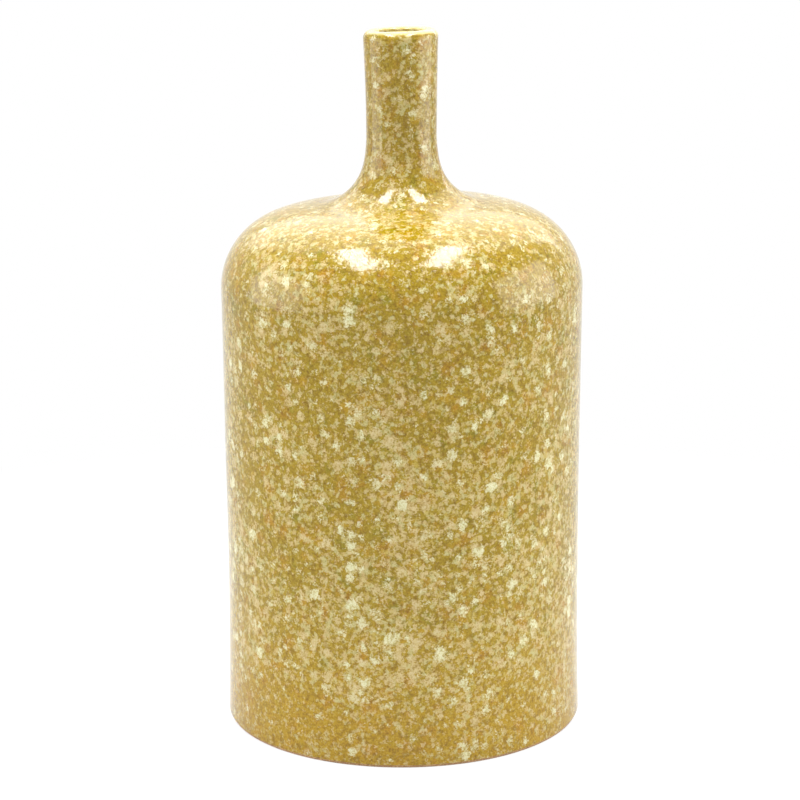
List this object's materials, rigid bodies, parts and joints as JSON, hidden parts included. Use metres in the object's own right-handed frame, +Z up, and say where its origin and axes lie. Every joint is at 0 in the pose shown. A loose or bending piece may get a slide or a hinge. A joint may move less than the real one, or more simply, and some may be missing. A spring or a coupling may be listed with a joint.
{
  "type": "bottle vase",
  "caption": "Tall bottle vase with a straight round wall, domed shoulder and narrow neck, in speckled ochre glaze, standing on a recessed foot ring.",
  "frame": {"origin": "centre of the plane that the foot ring stands on", "axes": "+Z up along the axis of the vase, from foot to mouth; round about Z, so +X and +Y are free"},
  "size_m": [0.15, 0.15, 0.29],
  "materials": {
    "fired_clay": "bare fired stoneware, matt and slightly grainy",
    "ochre_spatter_glaze": "gloss glaze, ochre with fine cream and tan spatter",
    "ochre_liner_glaze": "gloss glaze, plain ochre"
  },
  "bodies": {
    "root": {"clay_body": "fired_clay", "outer_glaze": "ochre_spatter_glaze", "liner_glaze": "ochre_liner_glaze", "base_glaze": "ochre_liner_glaze"}
  },
  "joints": []
}
